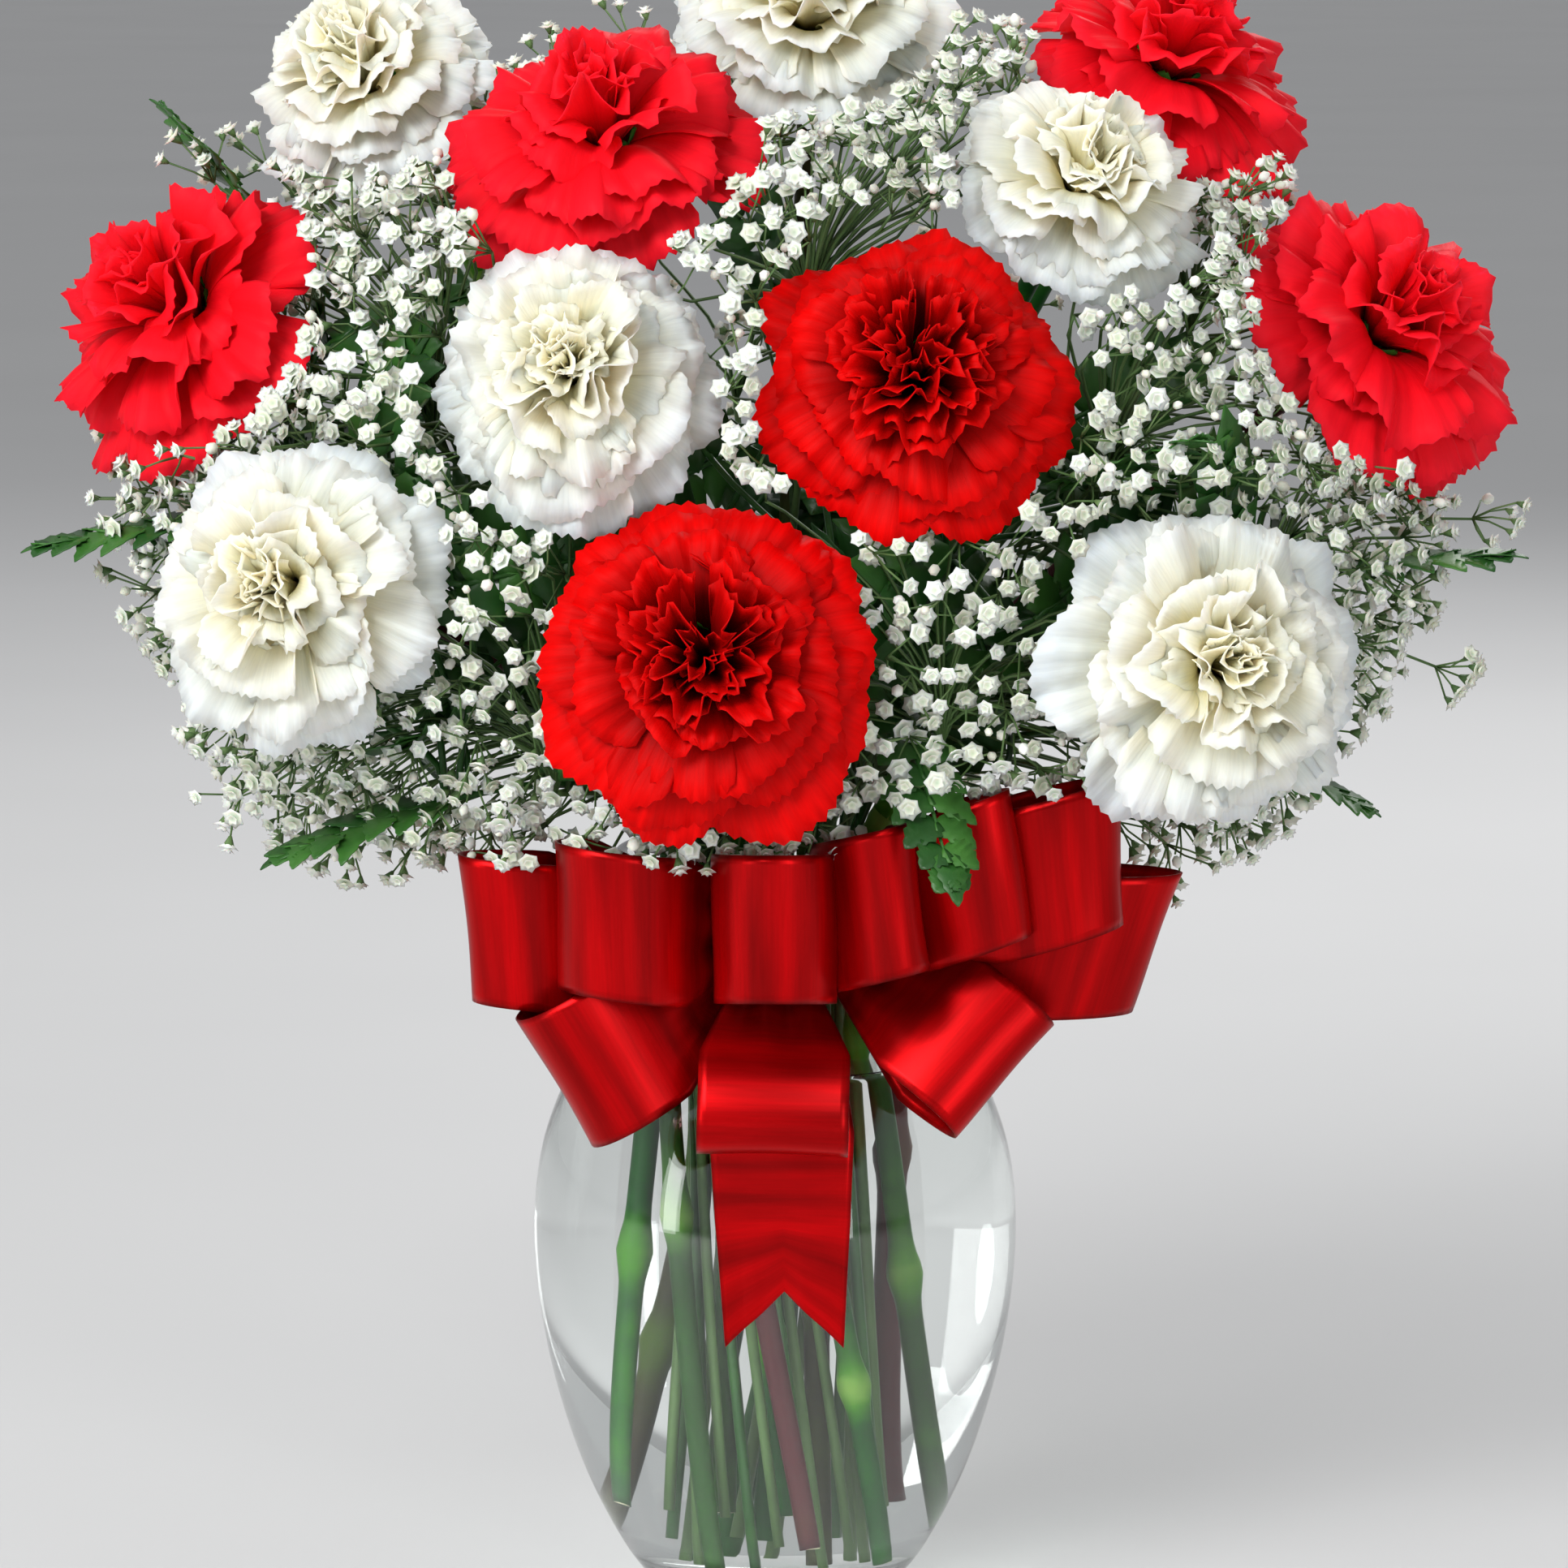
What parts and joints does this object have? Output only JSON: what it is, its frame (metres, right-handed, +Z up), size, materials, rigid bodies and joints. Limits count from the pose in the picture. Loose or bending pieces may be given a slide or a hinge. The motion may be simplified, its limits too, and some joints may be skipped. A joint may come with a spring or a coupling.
{
  "type": "carnations in a vase",
  "caption": "Red and white carnations with baby's breath and fern fronds, standing in water in a bellied clear glass vase with a ribbon bow round its neck.",
  "frame": {"origin": "centre of the vase's underside, on the surface that it stands on", "axes": "+Z up along the axis of the vase; -Y to the front, where the bow and the fullest side of the flowers are; +X to the right as seen from the front"},
  "size_m": [0.3382, 0.2559, 0.4011],
  "materials": {
    "glass": "clear polished glass",
    "water": "clear still water",
    "ribbon": "satin",
    "stems": "matt, waxy green",
    "petals_red": "matt, softly ruffled",
    "petals_white": "matt, softly ruffled",
    "fern": "satin leaf",
    "gypsophila": "matt"
  },
  "bodies": {
    "root": {"vase": "glass", "water": "water", "ribbon_band": "ribbon", "ribbon_bow": "ribbon", "stem_red_front": "stems", "carnation_red_front": "petals_red", "stem_white_front_right": "stems", "carnation_white_front_right": "petals_white", "stem_red_right": "stems", "carnation_red_right": "petals_red", "stem_red_top_right": "stems", "carnation_red_top_right": "petals_red", "stem_white_top": "stems", "carnation_white_top": "petals_white", "stem_white_top_left": "stems", "carnation_white_top_left": "petals_white", "stem_red_left": "stems", "carnation_red_left": "petals_red", "stem_white_front_left": "stems", "carnation_white_front_left": "petals_white", "stem_white_middle_left": "stems", "carnation_white_middle_left": "petals_white", "stem_red_middle_right": "stems", "carnation_red_middle_right": "petals_red", "stem_white_upper_right": "stems", "carnation_white_upper_right": "petals_white", "stem_red_upper_left": "stems", "carnation_red_upper_left": "petals_red", "fern_left": "fern", "fern_upper_left": "fern", "fern_lower_left": "fern", "fern_middle": "fern", "fern_right": "fern", "fern_between": "fern", "fern_lower_right": "fern", "fern_back_left": "fern", "fern_back": "fern", "fern_back_right": "fern", "gypsophila_front_left": "gypsophila", "gypsophila_front_right": "gypsophila", "gypsophila_left": "gypsophila", "gypsophila_middle": "gypsophila", "gypsophila_right": "gypsophila", "gypsophila_far_right": "gypsophila", "gypsophila_top_left": "gypsophila", "gypsophila_top_right": "gypsophila", "gypsophila_far_left": "gypsophila", "gypsophila_back_left": "gypsophila", "gypsophila_back": "gypsophila", "gypsophila_back_right": "gypsophila"}
  },
  "joints": []
}
